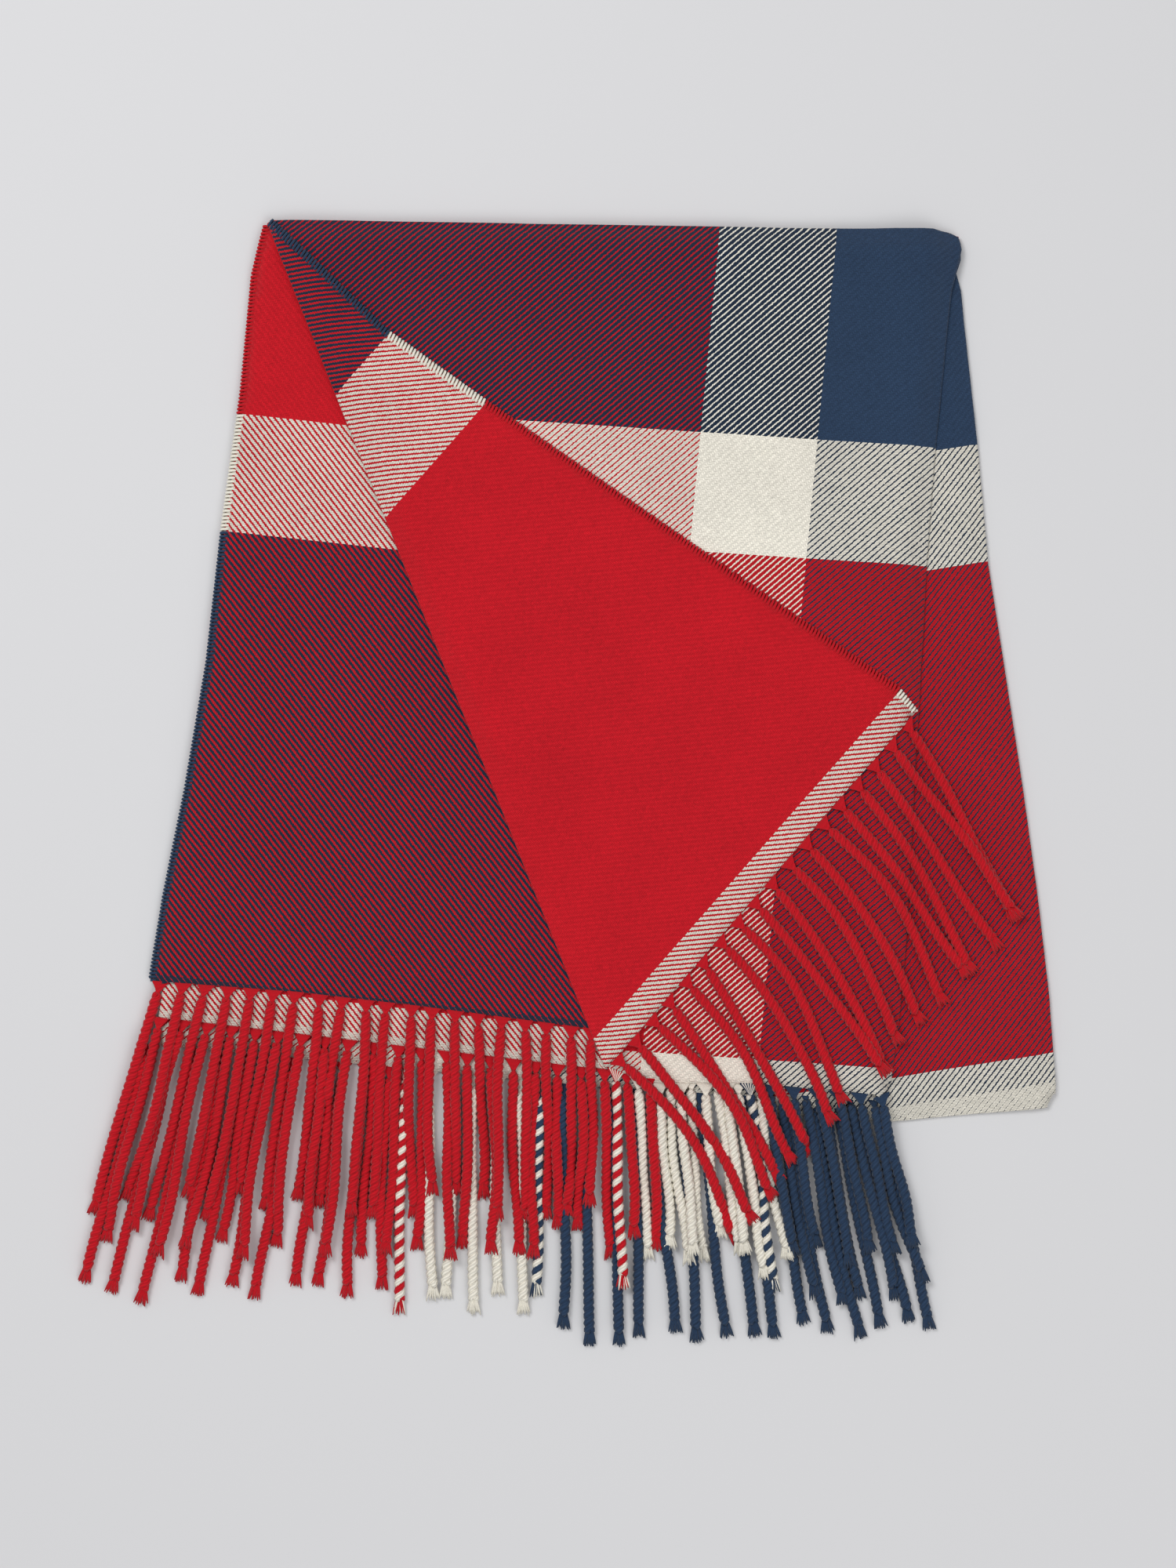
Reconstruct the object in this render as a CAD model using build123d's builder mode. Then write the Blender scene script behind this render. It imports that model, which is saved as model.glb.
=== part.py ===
from build123d import *

import math
import os

# A fringed plaid throw, folded and laid flat, with one corner of its top layer turned back.
# +Z is up from the surface it lies on, +Y runs to the folded top edge, and the fringe points to -Y.
# The origin is at the centre of the underside. Millimetres.

# Cloth and yarn
CLOTH = 2.2  # one thickness of woven cloth
GAP = 0.4  # air between two layers
CLEAR = 0.3  # between a tassel or selvedge and the edge it belongs to
LAYER = CLOTH + GAP
TASSEL_WIDTH = 7.0
TASSEL_PITCH = 16.2
SELVEDGE_WIDTH = 4.7
FOLD_TRIM = 0.5  # off each end of a straight run of fold, so that its runs stay clear of each other

# Height of each layer's underside
UNDER_BASE = 0.0
BACK_BASE = UNDER_BASE + LAYER
SIDE_BASE = BACK_BASE + LAYER
TUCK_LOWER_BASE = SIDE_BASE + LAYER
TUCK_UPPER_BASE = TUCK_LOWER_BASE + LAYER
FRONT_BASE = TUCK_UPPER_BASE + LAYER
FLAP_BASE = FRONT_BASE + LAYER

# Corners shared by neighbouring pieces, in plan
FRONT_TOP_LEFT = (-219.0, 411.0)
FRONT_TOP_RIGHT = (284.0, 401.0)
MIDDLE_TOP_LEFT = (-221.0, 409.0)
MIDDLE_TOP_RIGHT = (285.0, 399.0)
BACK_TOP_LEFT = (-218.0, 403.0)
BACK_TOP_RIGHT = (285.0, 395.0)
UNDER_FOOT_LEFT = (-302.0, -191.0)
TURN_FOOT = (28.0, -207.0)
TURNED_CORNER = (252.0, 52.0)
TUCK_LEFT = -210.0
TUCK_FOOT_LEFT = -54.0  # keeps the tuck behind the slanting fold of the corner
TUCK_FOOT_RIGHT = 242.0  # keeps the tuck inside the front's right crest
TUCK_RIGHT = 262.0
TUCK_DEPTH = 20.0
UNDER_RIGHT = 244.0
SIDE_SPLIT = 148.0


def on_line(start, end, x):
    """The point at X on the straight line through two points."""
    rise = (end[1] - start[1]) / (end[0] - start[0])
    return (x, start[1] + rise * (x - start[0]))


def on_edge(edge, x):
    """The point at X on an edge that runs left to right through several points."""
    for start, end in zip(edge, edge[1:]):
        if x <= end[0]:
            return on_line(start, end, x)
    return on_line(edge[-2], edge[-1], x)


def lean(x):
    """How far a hanging tassel leans sideways for each millimetre down: the rows fan out."""
    if x < FAN_STILL_LEFT:
        return FAN_LEFT * (FAN_STILL_LEFT - x) / FAN_REACH_LEFT
    if x > 0:
        return FAN_RIGHT * x / FAN_REACH_RIGHT
    return 0.0


FAN_STILL_LEFT = -100.0
FAN_LEFT = -0.286
FAN_REACH_LEFT = 200.0
FAN_RIGHT = 0.25
FAN_REACH_RIGHT = 236.0

# Fringed edges, left to right
BACK_FOOT_RISE = 20.0
left_slope = (BACK_TOP_LEFT[0] - UNDER_FOOT_LEFT[0]) / (BACK_TOP_LEFT[1] - UNDER_FOOT_LEFT[1])
back_left_foot = (UNDER_FOOT_LEFT[0] + left_slope * BACK_FOOT_RISE, UNDER_FOOT_LEFT[1] + BACK_FOOT_RISE)
left_edge_foot = [(-305.0, -144.0), (-200.0, -152.0), (-112.0, -162.0), (17.0, -179.0), (140.0, -195.0)]
back_edge_foot = [back_left_foot, (8.0, -207.0), (244.0, -230.0), (354.0, -227.0)]
under_edge_foot = [UNDER_FOOT_LEFT, (-144.0, -206.0), (20.0, -222.0), (240.0, -235.0)]
front_edge_foot = [TURN_FOOT, (62.0, -219.0), (135.0, -219.0), (231.0, -227.0), (233.0, -219.0)]

# Side edges, top to bottom
left_side = [MIDDLE_TOP_LEFT, (-238.0, 287.0), (-263.0, 89.0), (-305.0, -144.0)]
right_side = [BACK_TOP_RIGHT, (297.0, 250.0), (316.0, 92.0), (341.0, -80.0), (354.0, -227.0)]
right_foot = [(350.0, -235.0), (238.0, -246.0), (SIDE_SPLIT + 2.0, -240.0)]
crest = [(283.0, 398.0), (265.0, 250.0), (255.0, 92.0), (245.0, -108.0), (233.0, -219.0)]
flap_side = [(-205.0, 397.0), (-133.0, 328.0), (-64.0, 279.0), (238.0, 69.0), TURNED_CORNER]

os.makedirs("parts", exist_ok=True)

# Cloth panels: outline and underside height
panels = {
    "under_panel": (
        [BACK_TOP_LEFT, on_line(BACK_TOP_LEFT, BACK_TOP_RIGHT, UNDER_RIGHT), *reversed(under_edge_foot)],
        UNDER_BASE,
    ),
    "back_panel": (
        [BACK_TOP_LEFT, *right_side, *reversed(back_edge_foot[:-1])],
        BACK_BASE,
    ),
    "left_panel": (
        [*left_side, *left_edge_foot[1:], on_line(MIDDLE_TOP_LEFT, MIDDLE_TOP_RIGHT, SIDE_SPLIT - 3.0)],
        SIDE_BASE,
    ),
    "right_panel": (
        [
            on_line(MIDDLE_TOP_LEFT, MIDDLE_TOP_RIGHT, SIDE_SPLIT + 2.0),
            MIDDLE_TOP_RIGHT,
            *right_side,
            *right_foot,
        ],
        SIDE_BASE,
    ),
    "tuck_lower": (
        [
            on_line(MIDDLE_TOP_LEFT, MIDDLE_TOP_RIGHT, TUCK_LEFT),
            on_line(MIDDLE_TOP_LEFT, MIDDLE_TOP_RIGHT, TUCK_RIGHT),
            (TUCK_FOOT_RIGHT, TUCK_DEPTH),
            (TUCK_FOOT_LEFT, TUCK_DEPTH),
        ],
        TUCK_LOWER_BASE,
    ),
    "tuck_upper": (
        [
            on_line(FRONT_TOP_LEFT, FRONT_TOP_RIGHT, TUCK_LEFT),
            on_line(FRONT_TOP_LEFT, FRONT_TOP_RIGHT, TUCK_RIGHT),
            (TUCK_FOOT_RIGHT, TUCK_DEPTH),
            (TUCK_FOOT_LEFT, TUCK_DEPTH),
        ],
        TUCK_UPPER_BASE,
    ),
    "front_panel": (
        [FRONT_TOP_LEFT, FRONT_TOP_RIGHT, *crest, *reversed(front_edge_foot[:-1])],
        FRONT_BASE,
    ),
    "corner_flap": (
        [FRONT_TOP_LEFT, *flap_side, TURN_FOOT],
        FLAP_BASE,
    ),
}
for name, (outline, base) in panels.items():
    with BuildPart() as panel:
        with BuildSketch(Plane.XY.offset(base)):
            with BuildLine():
                Polyline(*outline, close=True)
            make_face()
        extrude(amount=CLOTH)
    panel.part.label = name
    export_step(panel.part, f"parts/{name}.step")

# Folds: each line has the outside of the bend on its left, then the heights it turns between
folds = {
    "top_fold_front": ([FRONT_TOP_LEFT, FRONT_TOP_RIGHT], TUCK_UPPER_BASE, FRONT_BASE + CLOTH),
    "top_fold_middle": ([MIDDLE_TOP_LEFT, MIDDLE_TOP_RIGHT], SIDE_BASE, TUCK_LOWER_BASE + CLOTH),
    "top_fold_back": (
        [BACK_TOP_LEFT, on_line(BACK_TOP_LEFT, BACK_TOP_RIGHT, UNDER_RIGHT)],
        UNDER_BASE,
        BACK_BASE + CLOTH,
    ),
    "tuck_fold": (
        [(TUCK_FOOT_RIGHT, TUCK_DEPTH), (TUCK_FOOT_LEFT, TUCK_DEPTH)],
        TUCK_LOWER_BASE,
        TUCK_UPPER_BASE + CLOTH,
    ),
    "flap_fold": ([TURN_FOOT, FRONT_TOP_LEFT], FRONT_BASE, FLAP_BASE + CLOTH),
    "front_crest_fold": (crest, TUCK_LOWER_BASE, FRONT_BASE + CLOTH),
    "right_fold": (right_side, BACK_BASE, SIDE_BASE + CLOTH),
    "left_fold": ([back_left_foot, BACK_TOP_LEFT], UNDER_BASE, BACK_BASE + CLOTH),
    "bottom_fold": (right_foot, SIDE_BASE, SIDE_BASE + CLOTH),
}
for name, (line, low, high) in folds.items():
    outer = (high - low) / 2
    inner = outer - CLOTH
    with BuildPart() as fold:
        for start, end in zip(line, line[1:]):
            along = Vector(end[0] - start[0], end[1] - start[1], 0)
            outward = Vector(-along.Y, along.X, 0).normalized()
            begin = Vector(start[0], start[1], (low + high) / 2) + along.normalized() * FOLD_TRIM
            across = Plane(origin=begin, x_dir=outward, z_dir=along)
            with BuildSketch(across):
                with BuildLine():
                    CenterArc((0, 0), outer, -90, 180)
                    if inner > 0:
                        Line((0, outer), (0, inner))
                        CenterArc((0, 0), inner, -90, 180)
                        Line((0, -inner), (0, -outer))
                    else:
                        Line((0, outer), (0, -outer))
                make_face()
            extrude(amount=along.length - 2 * FOLD_TRIM)
    fold.part.label = name
    export_step(fold.part, f"parts/{name}.step")

# Whipped side edges: the edge they cover, the way out from it, and the underside height
selvedges = {
    "flap_selvedge": (flap_side[:-1], (0.57, 0.82), FLAP_BASE),
    "left_selvedge": (left_side, (-0.99, 0.1), SIDE_BASE),
}
for name, (edge, way_out, base) in selvedges.items():
    near = [(x + way_out[0] * CLEAR, y + way_out[1] * CLEAR) for x, y in edge]
    reach = CLEAR + SELVEDGE_WIDTH
    far = [(x + way_out[0] * reach, y + way_out[1] * reach) for x, y in reversed(edge)]
    with BuildPart() as selvedge:
        with BuildSketch(Plane.XY.offset(base)):
            with BuildLine():
                Polyline(*near, *far, close=True)
            make_face()
        extrude(amount=CLOTH)
    selvedge.part.label = name
    export_step(selvedge.part, f"parts/{name}.step")

FRONT_FIRST = 34.0
FRONT_SECOND = FRONT_FIRST + TASSEL_PITCH
FRONT_SIXTH = FRONT_FIRST + 5 * TASSEL_PITCH
FRONT_SEVENTH = FRONT_FIRST + 6 * TASSEL_PITCH
FRONT_EIGHTH = FRONT_FIRST + 7 * TASSEL_PITCH
FRONT_LAST = FRONT_FIRST + 12 * TASSEL_PITCH

# Hanging tassels: the edge, the X of the first and last heads, how many, the Y of the tips, the underside
fringes = {
    "left_fringe_red": (left_edge_foot, -299.0, 17.0, 20, -325.0, SIDE_BASE),
    "back_fringe_red": (back_edge_foot, -294.0, 65.0, 22, -350.0, BACK_BASE),
    "back_fringe_cream": (back_edge_foot, 82.0, 146.0, 5, -366.0, BACK_BASE),
    "back_fringe_navy": (back_edge_foot, 163.0, 236.0, 5, -385.0, BACK_BASE),
    "under_fringe_red": (under_edge_foot, -298.9, -136.0, 11, -385.0, UNDER_BASE),
    "under_fringe_mixed": (under_edge_foot, -119.0, -21.0, 2, -390.0, UNDER_BASE),
    "under_fringe_cream": (under_edge_foot, -103.0, -37.0, 5, -394.0, UNDER_BASE),
    "under_fringe_navy": (under_edge_foot, -4.0, 236.0, 15, -413.4, UNDER_BASE),
    "front_fringe_mixed": (front_edge_foot, FRONT_FIRST, FRONT_SEVENTH, 2, -376.0, FRONT_BASE),
    "front_fringe_cream": (front_edge_foot, FRONT_SECOND, FRONT_SIXTH, 5, -356.0, FRONT_BASE),
    "front_fringe_navy": (front_edge_foot, FRONT_EIGHTH, FRONT_LAST, 6, -358.0, FRONT_BASE),
}
HEAD_DROP = TASSEL_WIDTH / 2 + CLEAR + 0.3
for name, (edge, first, last, count, tip_y, base) in fringes.items():
    with BuildPart() as fringe:
        with BuildSketch(Plane.XY.offset(base)):
            for index in range(count):
                x, y = on_edge(edge, first + (last - first) * index / (count - 1))
                head_y = y - HEAD_DROP
                drop = head_y - tip_y - TASSEL_WIDTH / 2
                shift = lean(x) * drop
                with Locations((x + shift / 2, head_y - drop / 2)):
                    SlotCenterToCenter(
                        math.hypot(shift, drop), TASSEL_WIDTH, rotation=math.degrees(math.atan2(-drop, shift))
                    )
        extrude(amount=CLOTH)
    fringe.part.label = name
    export_step(fringe.part, f"parts/{name}.step")

# The turned-back corner's tassels, which point away across the front panel
FLAP_TASSELS = 18
FLAP_TASSEL_LENGTH = 160.0
FLAP_TASSEL_ANGLE = -57.0
with BuildPart() as flap_fringe_red:
    with BuildSketch(Plane.XY.offset(FLAP_BASE)):
        edge_run = Vector(TURN_FOOT[0] - TURNED_CORNER[0], TURN_FOOT[1] - TURNED_CORNER[1], 0)
        edge_out = Vector(-edge_run.Y, edge_run.X, 0).normalized()
        heading = Vector(1, 0, 0).rotate(Axis.Z, FLAP_TASSEL_ANGLE)
        for index in range(FLAP_TASSELS):
            head = Vector(*TURNED_CORNER) + edge_run * ((index + 0.5) / FLAP_TASSELS) + edge_out * HEAD_DROP
            middle = head + heading * (FLAP_TASSEL_LENGTH / 2)
            with Locations((middle.X, middle.Y)):
                SlotCenterToCenter(FLAP_TASSEL_LENGTH, TASSEL_WIDTH, rotation=FLAP_TASSEL_ANGLE)
    extrude(amount=CLOTH)
flap_fringe_red.part.label = "flap_fringe_red"
export_step(flap_fringe_red.part, "parts/flap_fringe_red.step")
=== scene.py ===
"""Dresses a folded plaid throw: one woven cloth laid in layers, its twisted fringe and its whipped edges."""
import logging
import math
import random
from dataclasses import dataclass, field
from enum import Enum

import bpy
import numpy as np
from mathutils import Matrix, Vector
from mathutils.geometry import delaunay_2d_cdt


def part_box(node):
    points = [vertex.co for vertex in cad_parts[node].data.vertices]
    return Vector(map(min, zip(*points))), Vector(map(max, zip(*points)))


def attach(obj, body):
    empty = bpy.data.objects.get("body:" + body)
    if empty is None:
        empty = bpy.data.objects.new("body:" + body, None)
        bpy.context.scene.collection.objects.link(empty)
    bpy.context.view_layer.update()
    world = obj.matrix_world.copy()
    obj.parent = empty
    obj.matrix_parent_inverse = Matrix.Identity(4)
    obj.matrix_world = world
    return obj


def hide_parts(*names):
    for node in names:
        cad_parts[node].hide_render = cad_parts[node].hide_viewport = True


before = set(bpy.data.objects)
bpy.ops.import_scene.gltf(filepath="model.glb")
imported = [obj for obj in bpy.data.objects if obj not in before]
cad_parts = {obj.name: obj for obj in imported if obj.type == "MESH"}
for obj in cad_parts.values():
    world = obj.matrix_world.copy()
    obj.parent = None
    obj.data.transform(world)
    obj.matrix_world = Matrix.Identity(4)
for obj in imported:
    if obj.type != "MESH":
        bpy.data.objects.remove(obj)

LOG = logging.getLogger("throw")
MM = 0.001
BODY = "root"

Point = tuple[float, float]
Line = list[Point]
Colour = tuple[float, float, float, float]

CLOTH_THICK = 2.0
WEFT_LENGTH = 1704.0
THREAD_PITCH = 1.22
TASSEL_PITCH = 16.2
OUTLINE_SLACK = 5.0
BEATEN_END = 5.0
DARK_YARN = 0.08
SCALLOP_STEP = 2.4
AIR_GAP = 0.1
ANY_PHASE = 6.3
HEAD_LOOSE = 1.0
LEFT_LEAN = 0.286
RIGHT_LEAN = 0.25


class Yarn(Enum):
    """The dyed yarns the throw is woven from."""

    RED = "red"
    CREAM = "cream"
    NAVY = "navy"


class ClothSide(Enum):
    """The two sides of the cloth, with the half-width of the warp's rib on each, in threads."""

    FACE = 0.58
    REVERSE = 0.82


@dataclass(frozen=True)
class YarnFinish:
    """How one dyed yarn looks.

    Args:
        colour: Linear base colour with alpha.
        roughness: Surface roughness.
        sheen: Strength of the soft fibre glow.
    """

    colour: Colour
    roughness: float = 0.92
    sheen: float = 0.12


FINISHES: dict[Yarn, YarnFinish] = {
    Yarn.RED: YarnFinish((0.56, 0.007, 0.016, 1.0)),
    Yarn.CREAM: YarnFinish((0.86, 0.82, 0.72, 1.0)),
    Yarn.NAVY: YarnFinish((0.024, 0.049, 0.100, 1.0)),
}

# Widths of the stripes across the cloth, and of the bands along it, in millimetres.
WARP_STRIPES: list[tuple[Yarn, float]] = [
    (Yarn.RED, 368.0), (Yarn.CREAM, 86.0), (Yarn.NAVY, 362.0), (Yarn.CREAM, 86.0), (Yarn.RED, 368.0),
]
WEFT_BANDS: list[tuple[Yarn, float]] = [
    (Yarn.NAVY, 328.0), (Yarn.CREAM, 86.0), (Yarn.RED, 362.0), (Yarn.CREAM, 86.0), (Yarn.NAVY, 362.0),
    (Yarn.CREAM, 86.0), (Yarn.RED, 362.0), (Yarn.CREAM, 32.0),
]

# Corners that neighbouring pieces share, in plan.
FRONT_TOP: Line = [(-219.0, 411.0), (266.0, 403.0), (278.0, 401.5)]
MIDDLE_TOP: Line = [(-221.0, 409.0), (285.0, 399.0)]
BACK_TOP: Line = [(-218.0, 403.0), (285.0, 395.0)]
TURN_FOOT: Point = (28.0, -207.0)
TURNED_CORNER: Point = (252.0, 52.0)
BACK_FOOT: Line = [(-299.2, -171.0), (8.0, -207.0), (244.0, -230.0), (354.0, -227.0)]
LEFT_FOOT: Line = [(-305.0, -144.0), (-200.0, -152.0), (-112.0, -162.0), (17.0, -179.0), (140.0, -195.0)]
UNDER_FOOT: Line = [(-302.0, -191.0), (-144.0, -206.0), (20.0, -222.0), (240.0, -235.0)]
FRONT_FOOT: Line = [TURN_FOOT, (62.0, -219.0), (135.0, -219.0), (231.0, -227.0), (233.0, -219.0)]
LEFT_SIDE: Line = [MIDDLE_TOP[0], (-230.0, 372.0), (-238.0, 287.0), (-252.0, 187.0), (-263.0, 89.0),
                   (-279.0, -5.0), (-295.0, -83.0), (-305.0, -144.0)]
RIGHT_SIDE: Line = [BACK_TOP[1], (285.0, 384.0), (281.5, 374.0), (285.0, 361.0), (288.0, 332.0),
                    (297.0, 250.0), (305.0, 161.0), (316.0, 92.0), (331.0, -8.0),
                    (341.0, -80.0), (350.0, -158.0), (354.0, -227.0)]
RIGHT_FOOT: Line = [(350.0, -235.0), (238.0, -246.0), (150.0, -240.0)]
CREST: Line = [FRONT_TOP[-1], (283.0, 398.5), (284.0, 391.0), (281.0, 379.0), (277.0, 361.0), (274.0, 332.0),
               (266.0, 250.0), (259.0, 161.0), (255.0, 92.0), (252.0, 40.0),
               (249.0, -30.0), (245.0, -108.0), (240.0, -165.0), (233.0, -219.0)]
FLAP_SIDE: Line = [FRONT_TOP[0], (-205.0, 397.0), (-133.0, 328.0), (-64.0, 279.0), (238.0, 69.0),
                   TURNED_CORNER]
TUCK_FOOT: Line = [(-54.0, 20.0), (242.0, 20.0)]


def along(line: Line, x: float) -> Point:
    """Finds the point at X on a line that runs left to right.

    Args:
        line: Corners from left to right.
        x: Where to look.

    Returns:
        The point, carried on past the ends where X is outside them.
    """
    for (x0, y0), (x1, y1) in zip(line, line[1:]):
        if x <= x1 or (x1, y1) == line[-1]:
            return (x, y0 + (y1 - y0) * (x - x0) / (x1 - x0))
    return line[-1]


def divide(line: Line, step: float) -> np.ndarray:
    """Divides a line into even steps, and keeps its corners.

    Args:
        line: The corners.
        step: The longest step.

    Returns:
        The points, one row each.
    """
    points: list[Point] = []
    for (x0, y0), (x1, y1) in zip(line, line[1:]):
        count = max(1, math.ceil(math.hypot(x1 - x0, y1 - y0) / step))
        points += [(x0 + (x1 - x0) * i / count, y0 + (y1 - y0) * i / count) for i in range(count)]
    return np.array(points + [line[-1]])


def inside(outline: Line, points: np.ndarray) -> np.ndarray:
    """Tests points against a closed outline.

    Args:
        outline: The corners.
        points: Points, one row each.

    Returns:
        True for each point within the outline.
    """
    x, y = points[:, 0], points[:, 1]
    hit = np.zeros(len(points), bool)
    for (x0, y0), (x1, y1) in zip(outline, outline[1:] + outline[:1]):
        if y0 != y1:
            hit ^= ((y0 > y) != (y1 > y)) & (x < (x1 - x0) * (y - y0) / (y1 - y0) + x0)
    return hit


def check_outline(node: str, outline: Line) -> None:
    """Stops the script if an outline has left the place of its CAD node.

    Args:
        node: The CAD node.
        outline: Its corners in plan.
    """
    low, high = (np.array(corner[:2]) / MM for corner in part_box(node))
    corners = np.array(outline)
    stray = max(np.abs(corners.min(axis=0) - low).max(), np.abs(corners.max(axis=0) - high).max())
    if stray > OUTLINE_SLACK:
        raise ValueError(f"{node}: its outline is {stray:.1f} mm from its place in the frame")


def unit(span: np.ndarray) -> np.ndarray:
    """Gives the direction of a span in plan."""
    return span / np.hypot(*span)


def clearance(line: Line, points: np.ndarray) -> np.ndarray:
    """Measures how far points are from a line.

    Args:
        line: The corners.
        points: Points, one row each.

    Returns:
        The distance of each point.
    """
    best = np.full(len(points), 1e9)
    for start, end in zip(line, line[1:]):
        a, d = np.array(start), np.array(end) - np.array(start)
        t = np.clip(((points - a) @ d) / (d @ d), 0, 1)
        best = np.minimum(best, np.hypot(*(points - a - t[:, None] * d).T))
    return best


@dataclass(frozen=True)
class ClothFrame:
    """Where the warp and the weft of one panel run.

    Args:
        origin: A point of the panel, in plan.
        flat_at: The same point on the flat cloth.
        across: One millimetre across the cloth, in plan.
        down: One millimetre along the cloth, in plan.
    """

    origin: Point
    flat_at: Point
    across: Point
    down: Point

    def flat(self, points: np.ndarray) -> np.ndarray:
        """Gives the flat cloth's coordinates of points in plan.

        Args:
            points: Points in plan, one row each.

        Returns:
            Their places on the flat cloth.
        """
        turn = np.linalg.inv(np.array([self.across, self.down]).T)
        return np.array(self.flat_at) + (points - np.array(self.origin)) @ turn.T


@dataclass(frozen=True)
class Panel:
    """One layer of the folded cloth.

    Args:
        name: The CAD node it stands for.
        outline: Its corners in plan.
        cloth: Where its threads run.
        side: Which side of the cloth is up.
        wave: The height of its gentle waves.
        lofts: Folded edges, with how far the cloth swells behind each.
    """

    name: str
    outline: Line
    cloth: ClothFrame
    side: ClothSide
    wave: float = 0.3
    lofts: list[tuple[Line, float]] = field(default_factory=list)


@dataclass(frozen=True)
class Fold:
    """A bend from one layer down to another, with its outside on the left of its line.

    Args:
        name: The CAD node it stands for.
        line: The folded edge.
        upper: The layer above.
        lower: The layer below.
        lip: How far it runs back under itself.
        swell: The most that it stands out.
    """

    name: str
    line: Line
    upper: str
    lower: str
    lip: float = 8.0
    swell: float = 9.0


UNDER_CLOTH = ClothFrame((-118.0, -208.5), (368.0, WEFT_LENGTH), (0.995, -0.095), (-0.10, -0.995))
BACK_CLOTH = ClothFrame((65.0, -212.6), (902.0, WEFT_LENGTH), (-0.993, 0.115), (-0.13, -0.99))
LEFT_CLOTH = ClothFrame((-305.0, -144.0), (0.0, 0.0), (0.994, -0.108), (0.150, 0.989))
RIGHT_CLOTH = ClothFrame((301.0, 250.0), (650.0, 1224.0), (0.987, 0.155), (0.115, -0.985))
FRONT_CLOTH = ClothFrame((92.0, 258.0), (368.0, 1224.0), (0.998, -0.065), (-0.094, -1.0))
FLAP_CLOTH = ClothFrame((-219.0, 411.0), (0.0, 1104.0), (-0.659, -0.752), (0.795, -0.606))

FACE, REVERSE = ClothSide.FACE, ClothSide.REVERSE
PANELS: list[Panel] = [
    Panel("under_panel", [BACK_TOP[0], along(BACK_TOP, 244.0), *reversed(UNDER_FOOT)], UNDER_CLOTH, FACE),
    Panel("back_panel", [BACK_TOP[0], *RIGHT_SIDE, *reversed(BACK_FOOT[:-1])], BACK_CLOTH, REVERSE),
    Panel("left_panel", [*LEFT_SIDE, *LEFT_FOOT[1:], along(MIDDLE_TOP, 145.0)], LEFT_CLOTH, REVERSE, 1.2,
          [(MIDDLE_TOP, 1.5)]),
    Panel("right_panel", [along(MIDDLE_TOP, 150.0), MIDDLE_TOP[1], *RIGHT_SIDE, *RIGHT_FOOT], RIGHT_CLOTH,
          FACE, 0.8, [(RIGHT_SIDE, 3.0), (RIGHT_FOOT, 2.5)]),
    Panel("tuck_lower", [along(MIDDLE_TOP, -210.0), along(MIDDLE_TOP, 262.0), TUCK_FOOT[1], TUCK_FOOT[0]],
          LEFT_CLOTH, REVERSE),
    Panel("tuck_upper", [along(FRONT_TOP, -210.0), along(FRONT_TOP, 262.0), TUCK_FOOT[1], TUCK_FOOT[0]],
          FRONT_CLOTH, FACE),
    Panel("front_panel", [*FRONT_TOP, *CREST[1:], *reversed(FRONT_FOOT[:-1])], FRONT_CLOTH, FACE, 1.2,
          [(CREST, 5.6), (FRONT_TOP, 3.0)]),
    Panel("corner_flap", [*FLAP_SIDE, TURN_FOOT], FLAP_CLOTH, REVERSE, 0.8,
          [([TURN_FOOT, FRONT_TOP[0]], 4.5)]),
]

FOLDS: list[Fold] = [
    Fold("top_fold_front", FRONT_TOP, "front_panel", "tuck_upper", swell=2.2),
    Fold("top_fold_middle", MIDDLE_TOP, "tuck_lower", "left_panel"),
    Fold("top_fold_back", [BACK_TOP[0], along(BACK_TOP, 244.0)], "back_panel", "under_panel"),
    Fold("tuck_fold", [TUCK_FOOT[1], TUCK_FOOT[0]], "tuck_upper", "tuck_lower"),
    Fold("flap_fold", [TURN_FOOT, FRONT_TOP[0]], "corner_flap", "front_panel", 0.0),
    Fold("front_crest_fold", CREST, "front_panel", "right_panel"),
    Fold("right_fold", RIGHT_SIDE, "right_panel", "back_panel"),
    Fold("left_fold", [BACK_FOOT[0], BACK_TOP[0]], "back_panel", "under_panel"),
    Fold("bottom_fold", RIGHT_FOOT, "right_panel", "back_panel"),
]


SIDES: list[ClothSide] = list(ClothSide)


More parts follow.
